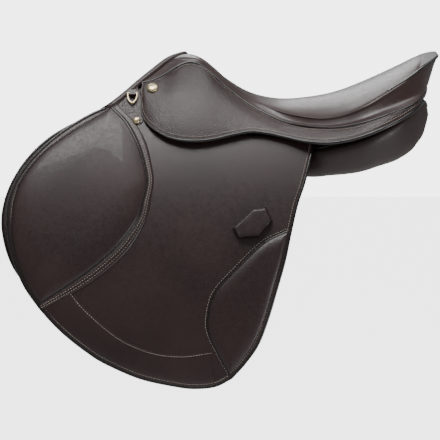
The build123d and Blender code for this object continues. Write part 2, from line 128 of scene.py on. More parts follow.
# The pommel's rolled facing, from the head's middle down the near side.
FACING = ((152, 0, 149), (159, 10, 147), (174, 28, 141), (194, 45, 125.5), (214, 60, 109), (234, 76, 91.5),
          (252, 89, 77), (266, 93, 68))

FLAP_RUNS = (
    ((253, 73), (283, 60), (312, 43), (334, 27), (354, 9), (372, -12), (385, -34), (393, -58), (395, -82),
     (393, -106), (388, -129), (380, -153), (367, -179), (348, -205)),
    ((348, -205), (327, -228), (306, -247), (281, -266), (257, -281), (209, -302), (160, -313), (132, -316),
     (104, -313), (82, -302)),
    ((82, -302), (63, -281), (45, -255), (31, -219), (20, -183), (8, -142), (0, -106), (-10, -65), (-20, -37),
     (-29, -6), (-36, 22)),
    ((-36, 22), (40, 32)), ((40, 32), (180, 35)), ((180, 35), (204, 54)), ((204, 54), (214, 78)),
    ((214, 78), (217, 102)), ((217, 102), (253, 73)),
)
SWEAT_RUNS = (
    ((244, 60), (287, 54), (315, 43), (343, 26), (367, 4), (386, -22), (399, -50), (405, -78), (404, -104),
     (396, -134), (384, -158), (366, -180)),
    ((366, -180), (320, -224), (270, -258), (200, -288), (132, -300), (96, -290), (70, -262), (48, -222),
     (30, -180), (16, -140), (6, -100), (-14, -36)),
    ((-14, -36), (40, 4)), ((40, 4), (90, 24)), ((90, 24), (198, 26)), ((198, 26), (244, 60)),
)
KNEE_INNER = ((254, 71), (232, 49), (215, 19), (205, -10), (201, -33), (206, -58), (214, -85), (239, -118),
              (268, -144.5), (297, -166), (326, -185), (347, -198))
KNEE_OUTER = ((243, 73), (219, 49), (203, 22), (194, -10), (191, -33), (195, -58), (202, -87), (223, -123),
              (249, -149), (277, -170), (302, -185), (344, -207))
KNEE_FRONT = ((347, -198), (363, -176), (376, -150), (384, -126), (388, -104), (389, -82), (387, -60),
              (380, -36), (368, -15), (350, 6), (331, 22), (308, 38), (280, 55), (254, 71))
HEAD_PATCH = ((250, 73.5), (238, 64), (226, 54), (218, 46.5), (212, 46), (207, 51), (207, 60), (209, 70),
              (211, 84), (216, 97), (224, 96), (238, 84))
CALF_FRONT = ((2, -100), (36, -116.5), (75, -153), (104.5, -186), (114, -220), (112, -243), (100, -269),
              (84, -298))
CALF_BACK = ((84, -298), (67, -278), (49, -251), (35, -217), (24, -181), (12, -141), (2, -100))
HEM_TOP = ((303, -185), (287, -204), (257, -231), (228, -251), (189, -266), (150, -270), (111, -265))
HEM_FOOT = ((343, -206), (323, -226), (302, -243.5), (254, -277), (207, -297.5), (160, -308.5),
            (132, -311.5), (105, -309))
KEEPER = ((78.5, -95), (72.5, -108), (43, -106), (25.5, -85), (33.5, -68.5), (51, -70))
KNEE_BLOCK = ((366, -60), (362, -100), (352, -130), (330, -165), (306, -146), (314, -100), (318, -60),
              (312, -26), (302, 0), (330, 6), (354, -20))
THIGH_BLOCK = ((-2, -62), (8, -100), (24, -149), (35, -146), (31, -100), (26, -59))
# Sections round the near panel: x, then (y, z) from the upper outer seam down and round inside.
PANEL_ROWS = (
    (-202, ((82, 71), (84, 59), (76, 48), (68, 50), (66, 60), (73, 71))),
    (-195, ((98, 80), (99, 58), (82, 29), (60, 38), (54, 56), (74, 80))),
    (-180, ((120, 71), (121, 49), (97, 11), (50, 26), (42, 50), (74, 74))),
    (-158, ((138, 56), (140, 33), (110, -3), (42, 14), (36, 38), (74, 60))),
    (-130, ((147, 42), (150, 19), (114, -13), (40, 4), (32, 26), (72, 44))),
    (-100, ((146, 29.5), (150, 7), (114, -22), (40, -3), (30, 15), (70, 34))),
    (-60, ((132, 18), (137, -2), (108, -27), (40, -7), (29, 10), (64, 27))),
    (-26, ((112, 12), (117, -8), (98, -29), (38, -9), (28, 8), (60, 24))),
    (40, ((74, 18), (84, -14), (70, -33), (36, -7), (28, 7), (52, 22))),
    (120, ((61, 18), (94, -34), (82, -69), (42, 0), (34, 12), (48, 25))),
    (185, ((58, 26), (94, -28), (84, -58), (50, 16), (44, 28), (50, 34))),
    (200, ((56, 20), (84, -22), (78, -44), (56, 8), (50, 18), (52, 24))),
)


# ---- curves and meshes ------------------------------------------------------------------------
def eased(points, each):
    """A smooth line through points: a cubic between each two, whose slope at a point is half the
    step from the point before to the point after."""
    p = np.asarray(points, float)
    if len(p) == 2:
        return p[0] + (p[1] - p[0]) * np.linspace(0, 1, each + 1)[:, None]
    ends = np.concatenate([[2 * p[0] - p[1]], p, [2 * p[-1] - p[-2]]])
    a, b, c, d = ends[:-3, None], ends[1:-2, None], ends[2:-1, None], ends[3:, None]
    t = np.arange(each).reshape((1, each) + (1,) * (p.ndim - 1)) / each
    bent = b + t * ((c - a) + t * ((2 * a - 5 * b + 4 * c - d) + t * (3 * b - 3 * c + d - a))) / 2
    bent[:, 0] = p[:-1]
    return np.concatenate([bent.reshape((-1,) + p.shape[1:]), p[-1:]])


def even(line, step):
    """A line's points set an even step apart along its length."""
    line = np.asarray(line, float)
    run = np.concatenate([[0], np.cumsum(np.linalg.norm(np.diff(line, axis=0), axis=1))])
    at = np.linspace(0, run[-1], max(2, int(round(run[-1] / step)) + 1))
    return np.stack([np.interp(at, run, line[:, i]) for i in range(line.shape[1])], axis=1)


def loop_of(runs, step=4.0):
    """A closed outline from runs of points that meet at corners, evenly divided, first point not
    repeated."""
    return np.concatenate([even(eased(run, 8), step)[:-1] for run in runs])


def closed_loop(points, step=4.0, round_off=True):
    """A closed outline through points, rounded or straight between them."""
    p = np.asarray(points, float)
    if round_off:
        wrapped = np.concatenate([p[-2:], p, p[:3]])
        line = eased(wrapped, 8)[16:-16]
    else:
        line = np.concatenate([p, p[:1]])
    return even(line, step)[:-1]


def on_round(flat, radius):
    """Side-view points laid on the flaps' round wall: y is the root of radius squared less the
    height squared above the wall's centre line."""
    x, z = flat[..., 0], flat[..., 1]
    y = ROUND_Y + np.sqrt(np.square(radius) - np.square(z - ROUND_Z))
    return np.stack([x, y, z], axis=-1)


def round_normal(points):
    """The round wall's outward direction at points on it."""
    n = np.stack([np.zeros(len(points)), points[:, 1] - ROUND_Y, points[:, 2] - ROUND_Z], axis=1)
    return n / np.linalg.norm(n, axis=1, keepdims=True)


def quads(rows, columns, wrap_rows=False, wrap_columns=False, start=0):
    """The four corners of every square of a grid of points numbered row by row."""
    r = np.arange(rows if wrap_rows else rows - 1)[:, None]
    c = np.arange(columns if wrap_columns else columns - 1)[None, :]
    r1, c1 = (r + 1) % rows, (c + 1) % columns
    return np.stack([a.ravel() + start for a in np.broadcast_arrays(
        r * columns + c, r * columns + c1, r1 * columns + c1, r1 * columns + c)], axis=1)


def make(name, points, faces, finish, side=1, merge=MERGE, sharp=40.0):
    """A piece from millimetre points and faces, with doubles merged and normals outward."""
    points = np.asarray(points, float).reshape(-1, 3) * (1, side, 1) * MM
    mesh = bpy.data.meshes.new(name)
    mesh.from_pydata(points.tolist(), [], np.asarray(faces).tolist())
    work = bmesh.new()
    work.from_mesh(mesh)
    bmesh.ops.remove_doubles(work, verts=work.verts, dist=merge * MM)
    bmesh.ops.dissolve_degenerate(work, edges=work.edges, dist=1e-7)
    bmesh.ops.recalc_face_normals(work, faces=work.faces)
    work.to_mesh(mesh)
    work.free()
    mesh.polygons.foreach_set("use_smooth", np.ones(len(mesh.polygons), bool))
    mesh.set_sharp_from_angle(angle=np.radians(sharp))
    piece = bpy.data.objects.new(name, mesh)
    bpy.context.scene.collection.objects.link(piece)
    mesh.materials.append(bpy.data.materials[finish])
    return piece


def two_skins(outer, inner, wrap=False):
    """A closed solid between two grids of points that face each other, joined round their edges."""
    rows, columns = outer.shape[:2]
    count = rows * columns
    faces = [quads(rows, columns, wrap_columns=wrap), quads(rows, columns, wrap_columns=wrap, start=count)]
    index = np.arange(count).reshape(rows, columns)
    rims = [index[0], index[-1]] if wrap else [index[0], index[-1], index[:, 0], index[:, -1]]
    for rim in rims:
        follow = np.roll(rim, -1) if wrap else rim[1:]
        here = rim if wrap else rim[:-1]
        faces.append(np.stack([here, follow, follow + count, here + count], axis=1))
    return np.concatenate([outer.reshape(-1, 3), inner.reshape(-1, 3)]), np.concatenate(faces)


def patch(loop, centre, radius, thick, roll, puff=0.0, reach=30.0, back=0.0, rings=22):
    """A leather patch on the round wall. Rings of the outline shrink to its centre. The height
    rises from the rim as a quarter circle of width roll, and a pad adds a crown that rises as a
    quarter ellipse over the distance reach."""
    share = 1 - np.linspace(1, 0, rings) ** 2.2
    share = share[:, None]
    centre = np.asarray(centre, float)
    flat = centre + share[..., None] * (loop - centre)[None]
    inward = (1 - share) * np.linalg.norm(loop - centre, axis=1)[None]
    edge = np.sqrt(np.clip(1 - (1 - np.clip(inward / roll, 0, 1)) ** 2, 0, 1))
    crown = np.sqrt(np.clip(1 - (1 - np.clip(inward / reach, 0, 1)) ** 2, 0, 1))
    outer = on_round(flat, radius + thick * edge + puff * crown)
    inner = on_round(flat, radius - back * edge)
    return two_skins(outer, inner, wrap=True)


def strip(upper, lower, radius, thick, crown=0.0, across=9, each=6):
    """A band between two side-view lines on the round wall, with rounded long edges and a low crown."""
    a, b = eased(upper, each), eased(lower, each)
    count = max(len(a), len(b))
    a, b = spread(a, count), spread(b, count)
    v = np.linspace(0, 1, across)
    v = (1 - np.cos(np.pi * v)) / 2
    flat = a[:, None] + (b - a)[:, None] * v[None, :, None]
    rise = np.clip(1 - (2 * v - 1) ** 6, 0, 1) * thick + crown * (1 - (2 * v - 1) ** 2)
    return two_skins(on_round(flat, radius + rise[None] + 0.3), on_round(flat, radius))


def spread(line, count):
    """A line redivided into a count of evenly spaced points."""
    run = np.concatenate([[0], np.cumsum(np.linalg.norm(np.diff(line, axis=0), axis=1))])
    at = np.linspace(0, run[-1], count)
    return np.stack([np.interp(at, run, line[:, i]) for i in range(line.shape[1])], axis=1)


def tube(path, radius, around=10, up=(0, 0, 1), squash=1.0, closed=False):
    """A round cord carried along a path: a circle in the plane of two directions square to it,
    flattened along the second, with its ends drawn to a point."""
    path = np.asarray(path, float)
    if closed:
        along = np.roll(path, -1, axis=0) - np.roll(path, 1, axis=0)
    else:
        along = np.gradient(path, axis=0)
    along /= np.linalg.norm(along, axis=1, keepdims=True)
    up = np.broadcast_to(np.asarray(up, float), path.shape)
    first = np.cross(along, up)
    first /= np.linalg.norm(first, axis=1, keepdims=True)
    second = np.cross(first, along)
    turn = np.linspace(0, 2 * np.pi, around, endpoint=False)
    size = np.broadcast_to(np.asarray(radius, float), len(path))[:, None, None]
    ring = (first[:, None] * np.cos(turn)[None, :, None]
            + second[:, None] * np.sin(turn)[None, :, None] * squash) * size
    points = path[:, None] + ring
    if closed:
        return points.reshape(-1, 3), quads(len(path), around, wrap_rows=True, wrap_columns=True)
    points = np.concatenate([np.broadcast_to(path[:1, None], (1, around, 3)), points,
                             np.broadcast_to(path[-1:, None], (1, around, 3))])
    return points.reshape(-1, 3), quads(len(path) + 2, around, wrap_columns=True)


def stitch_row(path, normals, pitch=3.9, long=2.9, wide=0.42):
    """Thread stitches along a path: each is a short spindle whose width swells as the sine of the
    way along it, sunk a little at both ends."""
    line = even(path, pitch)
    run = np.concatenate([[0], np.cumsum(np.linalg.norm(np.diff(path, axis=0), axis=1))])
    at = np.linspace(0, run[-1], len(line))
    out = np.stack([np.interp(at, run, normals[:, i]) for i in range(3)], axis=1)
    along = np.gradient(line, axis=0)
    along /= np.linalg.norm(along, axis=1, keepdims=True)
    across = np.cross(along, out)
    across /= np.linalg.norm(across, axis=1, keepdims=True)
    s = np.linspace(0, 1, 5)
    swell = np.sin(np.pi * (0.12 + 0.76 * s)) * wide
    turn = np.linspace(0, 2 * np.pi, 6, endpoint=False)
    shape = np.zeros((7, 6, 3))
    shape[1:6, :, 0] = ((s - 0.5) * long)[:, None]
    shape[1:6, :, 1] = swell[:, None] * np.cos(turn)
    shape[1:6, :, 2] = swell[:, None] * np.sin(turn) + 0.25 * np.sin(np.pi * s)[:, None]
    shape[0, :, 0], shape[6, :, 0] = -long / 2 - 0.1, long / 2 + 0.1
    axes = np.stack([along, across, out], axis=1)
    points = line[:, None, None] + np.einsum("rck,nkd->nrcd", shape, axes)
    one = quads(7, 6, wrap_columns=True)
    faces = (one[None] + (np.arange(len(line)) * 42)[:, None, None]).reshape(-1, 4)
    return points.reshape(-1, 3), faces


def joined(parts):
    """Several (points, faces) pairs as one."""
    starts = np.cumsum([0] + [len(p) for p, _ in parts[:-1]])
    return (np.concatenate([p for p, _ in parts]),
            np.concatenate([f + s for (_, f), s in zip(parts, starts)]))


def inset_line(line, depth, closed=True):
    """A side-view line moved to its left by a depth."""
    if closed:
        along = np.roll(line, -1, axis=0) - np.roll(line, 1, axis=0)
    else:
        along = np.gradient(line, axis=0)
    along /= np.maximum(np.linalg.norm(along, axis=1, keepdims=True), 1e-9)
    return line + np.stack([-along[:, 1], along[:, 0]], axis=1) * depth


def seam_on_flap(flat, lift, pitch=3.9):
    """A stitch row on the round wall at a lift over the flap's skin."""
    path = on_round(np.asarray(flat, float), FLAP_R + FLAP_THICK + lift)
    return stitch_row(path, round_normal(path), pitch)


def size(key):
    """One of the user's sizes, in millimetres."""
    return getattr(bpy.context.scene.saddle_sizes, key) / MM


def fit(name, shape, look, slot, body=None, nodes=(), **mesh):
    """Makes a piece, hangs it on its body and hides the frame nodes that it stands for. The slot is not used.
    """
    piece = make(name, *shape, look, **mesh)
    if body:
        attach(piece, body)
    if nodes:
        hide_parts(*nodes)
    return piece


def fold(piece, part, line, side):
    """Bakes a piece's placement into its mesh. The part, line and side are not used."""
    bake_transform(piece)


def fit_set(name, side, slot, rows, bend=()):
    """Fits one side's pieces from rows of label, shape, look, body, the nodes that the piece stands for and
    its merge distance, and bakes each one's placement where a fold is given."""
    for label, shape, look, body, stands_for, merge in rows:
        nodes = [f"{part}_{name}" for part in stands_for]
        made = fit(f"{label}_{name}", shape, look, slot, body, nodes, side=side, merge=merge)
        if bend:
            fold(made, *bend, side)


# ---- finishes ---------------------------------------------------------------------------------
PATTERN_OUT = (("Colour", "NodeSocketColor"), ("Roughness", "NodeSocketFloat"), ("Height", "NodeSocketFloat"))


def new_group(name, inputs, outputs):
    """An empty node group with named sockets."""
    group = bpy.data.node_groups.new(name, "ShaderNodeTree")
    for label, kind, value in inputs:
        socket = group.interface.new_socket(name=label, in_out="INPUT", socket_type=kind)
        socket.default_value = value
    for label, kind in outputs:
        group.interface.new_socket(name=label, in_out="OUTPUT", socket_type=kind)
    return group, group.nodes.new("NodeGroupInput"), group.nodes.new("NodeGroupOutput")


def node(tree, kind, **values):
    """A node with settings or input values."""
    made = tree.nodes.new(kind)
    for key, value in values.items():
        if hasattr(made, key):
            setattr(made, key, value)
        else:
            made.inputs[key.replace("_", " ")].default_value = value
    return made


def worked(tree, operation, first, second):
    """The result of a Math node fed by two sockets."""
    made = node(tree, "ShaderNodeMath", operation=operation)
    tree.links.new(first, made.inputs[0])
    tree.links.new(second, made.inputs[1])
    return made.outputs[0]


def mapped(tree, value, low, high, to_low, to_high):
    """A value carried from one range to another."""
    made = node(tree, "ShaderNodeMapRange", From_Min=low, From_Max=high, To_Min=to_low, To_Max=to_high)
    tree.links.new(value, made.inputs["Value"])
    return made.outputs[0]


def tinted(tree, colour, strength):
    """A colour made stronger or weaker."""
    made = node(tree, "ShaderNodeVectorMath", operation="SCALE")
    tree.links.new(colour, made.inputs[0])
    tree.links.new(strength, made.inputs["Scale"])
    return made.outputs[0]


def hide_group():
    """Leather: pebbled grain, creases, mottled dye and rubbed high spots."""
    group, inlet, outlet = new_group(
        "leather hide",
        (("Dye", "NodeSocketColor", (0.04, 0.027, 0.022, 1)), ("Pebble Size", "NodeSocketFloat", 900.0),
         ("Pebble Depth", "NodeSocketFloat", 0.6), ("Crease Depth", "NodeSocketFloat", 0.4),
         ("Gloss", "NodeSocketFloat", 0.4)), PATTERN_OUT)
    link = group.links.new
    place = node(group, "ShaderNodeTexCoord")
    pebble = node(group, "ShaderNodeTexVoronoi", feature="SMOOTH_F1", Smoothness=0.35)
    crease = node(group, "ShaderNodeTexNoise", Scale=160.0, Detail=7.0, Roughness=0.62, Distortion=0.6)
    mottle = node(group, "ShaderNodeTexNoise", Scale=9.0, Detail=4.0, Roughness=0.55)
    for texture in (pebble, crease, mottle):
        link(place.outputs["Object"], texture.inputs["Vector"])
    link(inlet.outputs["Pebble Size"], pebble.inputs["Scale"])
    deep = worked(group, "MULTIPLY", pebble.outputs["Distance"], inlet.outputs["Pebble Depth"])
    wrinkle = worked(group, "MULTIPLY", crease.outputs["Fac"], inlet.outputs["Crease Depth"])
    link(worked(group, "SUBTRACT", wrinkle, deep), outlet.inputs["Height"])
    shade = mapped(group, mottle.outputs["Fac"], 0.3, 0.7, 0.78, 1.28)
    pits = mapped(group, pebble.outputs["Distance"], 0.0, 0.8, 1.08, 0.82)
    both = worked(group, "MULTIPLY", shade, pits)
    link(tinted(group, inlet.outputs["Dye"], both), outlet.inputs["Colour"])
    dull = mapped(group, crease.outputs["Fac"], 0.35, 0.65, -0.05, 0.07)
    link(worked(group, "ADD", inlet.outputs["Gloss"], dull), outlet.inputs["Roughness"])
    return group


def wear_group():
    """Metal and hard finishes: fine scratches and a slow drift of tone."""
    group, inlet, outlet = new_group(
        "handling wear",
        (("Tone", "NodeSocketColor", (0.7, 0.6, 0.35, 1)), ("Scratch Size", "NodeSocketFloat", 400.0),
         ("Polish", "NodeSocketFloat", 0.25)), PATTERN_OUT)
    link = group.links.new
    place = node(group, "ShaderNodeTexCoord")
    scratch = node(group, "ShaderNodeTexNoise", Detail=6.0, Roughness=0.7)
    drift = node(group, "ShaderNodeTexNoise", Scale=60.0, Detail=3.0)
    link(place.outputs["Object"], scratch.inputs["Vector"])
    link(place.outputs["Object"], drift.inputs["Vector"])
    link(inlet.outputs["Scratch Size"], scratch.inputs["Scale"])
    fade = mapped(group, drift.outputs["Fac"], 0.3, 0.7, 0.75, 1.15)
    link(tinted(group, inlet.outputs["Tone"], fade), outlet.inputs["Colour"])
    rough = node(group, "ShaderNodeMath", operation="MULTIPLY_ADD")
    rough.inputs[1].default_value = 0.25
    link(scratch.outputs["Fac"], rough.inputs[0])
    link(inlet.outputs["Polish"], rough.inputs[2])
    link(rough.outputs[0], outlet.inputs["Roughness"])
    link(scratch.outputs["Fac"], outlet.inputs["Height"])
    return group


def finish(name, group, values, bump=0.3, depth=0.0004, **shader):
    """A material: one shader fed by a group's colour, roughness and height."""
    made = bpy.data.materials.new(name)
    made.use_nodes = True
    tree = made.node_tree
    principled = tree.nodes["Principled BSDF"]
    pattern = tree.nodes.new("ShaderNodeGroup")
    pattern.node_tree = bpy.data.node_groups[group]
    for key, value in values.items():
        pattern.inputs[key].default_value = value
    relief = node(tree, "ShaderNodeBump", Strength=bump, Distance=depth)
    tree.links.new(pattern.outputs["Colour"], principled.inputs["Base Color"])
    tree.links.new(pattern.outputs["Roughness"], principled.inputs["Roughness"])
    tree.links.new(pattern.outputs["Height"], relief.inputs["Height"])
    tree.links.new(relief.outputs["Normal"], principled.inputs["Normal"])
    for key, value in shader.items():
        principled.inputs[key.replace("_", " ")].default_value = value
    return made


class SaddleSizes(bpy.types.PropertyGroup):
    """Sizes that a maker would change."""
    stitch_pitch: bpy.props.FloatProperty(
        name="Stitch pitch", description="From one stitch to the next",
        default=3.9 * MM, min=2 * MM, max=8 * MM, unit="LENGTH")
    knee_puff: bpy.props.FloatProperty(
        name="Knee pad", description="Height of the knee pad's crown",
        default=7.0 * MM, min=2 * MM, max=14 * MM, unit="LENGTH")
    calf_puff: bpy.props.FloatProperty(
        name="Calf pad", description="Height of the calf pad's crown",
        default=4.5 * MM, min=1 * MM, max=10 * MM, unit="LENGTH")
    welt: bpy.props.FloatProperty(
        name="Welt", description="Radius of the seat's piped welt",
        default=1.8 * MM, min=0.8 * MM, max=4 * MM, unit="LENGTH")


class SaddleColours(bpy.types.PropertyGroup):
    """Dyes and finishes."""
    havana: bpy.props.FloatVectorProperty(name="Havana", description="Dye of the skirts and flaps",
                                          subtype="COLOR", size=4, default=(0.029, 0.0145, 0.0135, 1))
    seat: bpy.props.FloatVectorProperty(name="Seat", description="Dye of the seat leather",
                                        subtype="COLOR", size=4, default=(0.034, 0.0175, 0.0155, 1))
    edge: bpy.props.FloatVectorProperty(name="Edge", description="Dye of piping and cut edges",
                                        subtype="COLOR", size=4, default=(0.007, 0.005, 0.0045, 1))
    thread: bpy.props.FloatVectorProperty(name="Thread", description="Colour of the stitching",
                                          subtype="COLOR", size=4, default=(0.40, 0.35, 0.30, 1))
    brass: bpy.props.FloatVectorProperty(name="Brass", description="Colour of nails and dees",
                                         subtype="COLOR", size=4, default=(0.72, 0.60, 0.36, 1))
    # The cantle insert is black patent leather; this light grey is a painted reflection of the lamps on its
    # top.
    patent: bpy.props.FloatVectorProperty(name="Patent", description="Colour of the cantle insert",
                                          subtype="COLOR", size=4, default=(0.27, 0.26, 0.27, 1))


class SADDLE_OT_finishes(bpy.types.Operator):
    """Makes every leather, thread, metal and wood finish"""
    bl_idname = "saddle.finishes"
    bl_label = "Finishes"

    def execute(self, context):
        hide_group()
        wear_group()
        dye = context.scene.saddle_colours

        def hide(name, colour, size, pebble, crease, gloss, bump, **shader):
            finish(name, "leather hide", {"Dye": tuple(colour), "Pebble Size": size, "Pebble Depth": pebble,
                                          "Crease Depth": crease, "Gloss": gloss}, bump, **shader)
        hide("smooth havana", dye.havana, 1500.0, 0.25, 0.35, 0.40, 0.22, Coat_Weight=0.12,
             Coat_Roughness=0.3)
        hide("soft pad leather", dye.havana, 1100.0, 0.4, 0.6, 0.42, 0.26, Coat_Weight=0.08)
        hide("seat leather", dye.seat, 1300.0, 0.3, 0.5, 0.36, 0.22, Coat_Weight=0.18, Coat_Roughness=0.25)
        hide("grained skirt", dye.havana, 650.0, 1.0, 1.6, 0.42, 0.9, Coat_Weight=0.12, Coat_Roughness=0.3)
        hide("pebbled patch", dye.havana, 420.0, 1.6, 0.6, 0.42, 1.0, Coat_Weight=0.1)
        hide("panel leather", dye.havana, 1000.0, 0.4, 0.8, 0.42, 0.35)
        hide("strap leather", (0.06, 0.034, 0.024, 1), 1200.0, 0.2, 0.5, 0.45, 0.3)
        hide("black edge", dye.edge, 1500.0, 0.2, 0.4, 0.30, 0.15, Coat_Weight=0.4, Coat_Roughness=0.15)
        # Patent insert: its light grey dye is a painted reflection on black patent leather.
        hide("patent insert", dye.patent, 900.0, 0.15, 0.2, 0.20, 0.08, Coat_Weight=0.8, Coat_Roughness=0.08)
        hide("linen thread", dye.thread, 2500.0, 0.6, 0.8, 0.7, 0.5)
        hide("web cloth", (0.50, 0.46, 0.38, 1), 1200.0, 0.9, 0.4, 0.8, 0.6)
        for name, colour, metal in (("brass", dye.brass, 1.0), ("forged steel", (0.55, 0.56, 0.58, 1), 1.0),
                                    ("laminated beech", (0.50, 0.34, 0.19, 1), 0.0)):
            finish(name, "handling wear", {"Tone": tuple(colour), "Polish": 0.12 if metal else 0.45}, 0.06,
                   Metallic=metal)
        return {"FINISHED"}


class SADDLE_OT_stage(bpy.types.Operator):
    """Sets the pale floor, soft lights and camera"""
    bl_idname = "saddle.stage"
    bl_label = "Stage"

    def execute(self, context):
        scene = context.scene
        aim = Vector((0.0975, 0.0, -0.100))
        pitch = np.radians(CAMERA_PITCH)
        lens = bpy.data.cameras.new("saddle camera")
        lens.sensor_width = SENSOR
        lens.lens = SENSOR * FOCAL / FRAME
        camera = bpy.data.objects.new("saddle camera", lens)
        camera.location = aim + Vector((0, np.cos(pitch), np.sin(pitch))) * CAMERA_AWAY
        camera.rotation_euler = (aim - camera.location).to_track_quat("-Z", "Y").to_euler()
        scene.collection.objects.link(camera)
        scene.camera = camera
        middle = Vector((0.08, 0, -0.05))
        for name, place, width, power in LAMPS:
            light = bpy.data.lights.new(name, "AREA")
            light.size = width
            light.energy = power
            lamp = bpy.data.objects.new(name, light)
            lamp.location = place
            lamp.rotation_euler = (middle - lamp.location).to_track_quat("-Z", "Y").to_euler()
            scene.collection.objects.link(lamp)
        world = bpy.data.worlds.new("studio")
        world.use_nodes = True
        tree = world.node_tree
        sky = tree.nodes["Background"]
        sky.inputs["Color"].default_value = (1, 1, 1, 1)
        self.brightness(tree, sky.inputs["Strength"], 0.24, 4.5)
        scene.world = world
        half, drop = 14.0, -1.1        # the floor's half width and height, in metres
        mesh = bpy.data.meshes.new("floor")
        mesh.from_pydata([(-half, -half, drop), (half, -half, drop), (half, half, drop), (-half, half, drop)],
                         [], [(0, 1, 2, 3)])
        floor = bpy.data.objects.new("floor", mesh)
        scene.collection.objects.link(floor)
        pale = bpy.data.materials.new("pale floor")
        pale.use_nodes = True
        tree = pale.node_tree
        surface = tree.nodes["Principled BSDF"]
        surface.inputs["Base Color"].default_value = (0.92, 0.92, 0.92, 1)
        surface.inputs["Roughness"].default_value = 1.0
        surface.inputs["Specular IOR Level"].default_value = 0.0
        surface.inputs["Emission Color"].default_value = (1, 1, 1, 1)
        self.brightness(tree, surface.inputs["Emission Strength"], 0.0, 3.4)
        mesh.materials.append(pale)
        return {"FINISHED"}

    def brightness(self, tree, socket, lighting, seen):
        """Gives a socket one brightness as light on the saddle and another as backdrop."""
        ray = tree.nodes.new("ShaderNodeLightPath")
        tree.links.new(mapped(tree, ray.outputs["Is Camera Ray"], 0.0, 1.0, lighting, seen), socket)


# ---- seat -------------------------------------------------------------------------------------
def seat_grid(along=10, across=6):
    """The near half of the seat's skin. Each row runs from the centreline over the crown, where the
    fall grows with the 2.4th power of the way to the ridge, then down the side to the welt."""
    centre = np.array([(c[0], 0, c[1]) for c, _, _ in SEAT_ROWS], float)
    ridge = np.array([r for _, r, _ in SEAT_ROWS], float)
    welt = np.array([w for _, _, w in SEAT_ROWS], float)
    rows = []
    for share in (0.0, 0.25, 0.5, 0.75, 0.92):
        point = centre + (ridge - centre) * share
        point[:, 2] = centre[:, 2] - (centre[:, 2] - ridge[:, 2]) * share**2.4
        rows.append(point)
    side = welt - ridge
    deep = np.interp(-centre[:, :1], (-70, 20), (0, 1)) * (ridge[:, 1:2] > 1)
    hollow = OUT_UP * np.linalg.norm(side, axis=1, keepdims=True) * deep
    rows.append(ridge + np.array((0, 2.4, -2.0)) * (ridge[:, 1:2] > 1))
    rows.append(ridge + side * 0.26 - hollow * 0.055)
    rows.append(ridge + side * 0.60 - hollow * 0.135)
    rows.append(ridge + side * 0.86 - hollow * 0.06)
    rows.append(welt)
    lines = np.stack(rows, axis=1)
    lines = eased(lines, along)
    return eased(lines.transpose(1, 0, 2), across).transpose(1, 0, 2)


def full_width(grid):
    """A near-side grid joined with its off-side mirror across the centreline."""
    off = grid[:, :0:-1] * (1, -1, 1)
    return np.concatenate([off, grid], axis=1)


def grid_normals(grid):
    """Outward directions of a grid, from its two slopes."""
    n = np.cross(np.gradient(grid, axis=1), np.gradient(grid, axis=0))
    return n / np.maximum(np.linalg.norm(n, axis=2, keepdims=True), 1e-9)


class SADDLE_OT_seat(bpy.types.Operator):
    """Blocked seat with its welt, patent cantle insert and cantle binding"""
    bl_idname = "saddle.seat"
    bl_label = "Seat"

    def execute(self, context):
        half = seat_grid()
        whole = full_width(half)
        normal = grid_normals(whole)
        if normal[:, :, 2].mean() < 0:
            normal = -normal
        shell = two_skins(whole, whole - normal * 2.4)
        seat = fit("seat_skin", shell, "seat leather", "seat_leather", "root", ("seat_cover", "seat_foam"),
                   sharp=60)
        self.welt()
        self.cantle(whole, normal)
        self.closing()
        return {"FINISHED"}

    def welt(self):
        """The piped seam between seat and skirts, round the cantle from side to side."""
        near = eased([w for _, _, w in SEAT_ROWS], 12)
        line = np.concatenate([near, near[-2::-1] * (1, -1, 1)])
        outer = line + np.sign(line[:, 1:2]) * (0, 2.6, 0) + (0, 0, -2.4)
        up = (0.1, 0.0, 1)
        fit("seat_welt", tube(line + (0, 0, 0.4), size("welt"), up=up), "black edge", "seat_leather", "root")
        fit("skirt_welt", tube(outer, 1.1, up=up), "smooth havana", "saddle_leather", "root")

    def closing(self):
        """Gusset under the cantle: a sheet from the seat's welt forward and down to the panels."""
        near = eased([w for _, _, w in SEAT_ROWS[12:]], 10)
        line = np.concatenate([near, near[-2::-1] * (1, -1, 1)])
        wide = np.abs(line[:, 1])
        rest = np.interp(wide, (0, 30, 60, 96, 150), (68, 66, 70, 73, 54))
        foot = np.column_stack([line[:, 0] + 15, line[:, 1] * 0.93, np.minimum(line[:, 2] - 6, rest)])
        share = np.linspace(0, 1, 8)[:, None, None]
        grid = line + (0, 0, -1) + (foot - line) * share
        sheet = two_skins(grid, grid + (2.2, 0, 0.6))
        fit("cantle_gusset", sheet, "panel leather", "panel_leather", "root", sharp=60)

    def cantle(self, whole, normal):
        """Patent insert on the cantle's top and a glossy binding over its rear edge."""
        middle, last = whole.shape[1] // 2, whole.shape[0]
        side = np.arange(-25, 26)
        front = last - 32 + 5 * (1 - (side / 25) ** 2)
        share = np.linspace(0, 1, 24)[:, None]
        at = front[None] + (last - 1 - front)[None] * share
        low = np.floor(at).astype(int).clip(0, last - 2)
        mix = (at - low)[..., None]
        column = middle + side
        skin = whole[low, column] * (1 - mix) + whole[low + 1, column] * mix
        out = normal[low, column]
        insert = two_skins(skin + out * 0.5, skin - out * 0.4)
        # The insert is coloured light grey as a painted reflection of the lamps on its black patent top.
        fit("cantle_insert", insert, "patent insert", "seat_leather", "root", sharp=60)
        ridge = eased([r for _, r, _ in SEAT_ROWS[12:]], 12) + (0, 0, -1.0)
        line = np.concatenate([ridge, ridge[-2::-1] * (1, -1, 1)])
        fit("cantle_binding", tube(line, 2.1), "black edge", "seat_leather", "root")


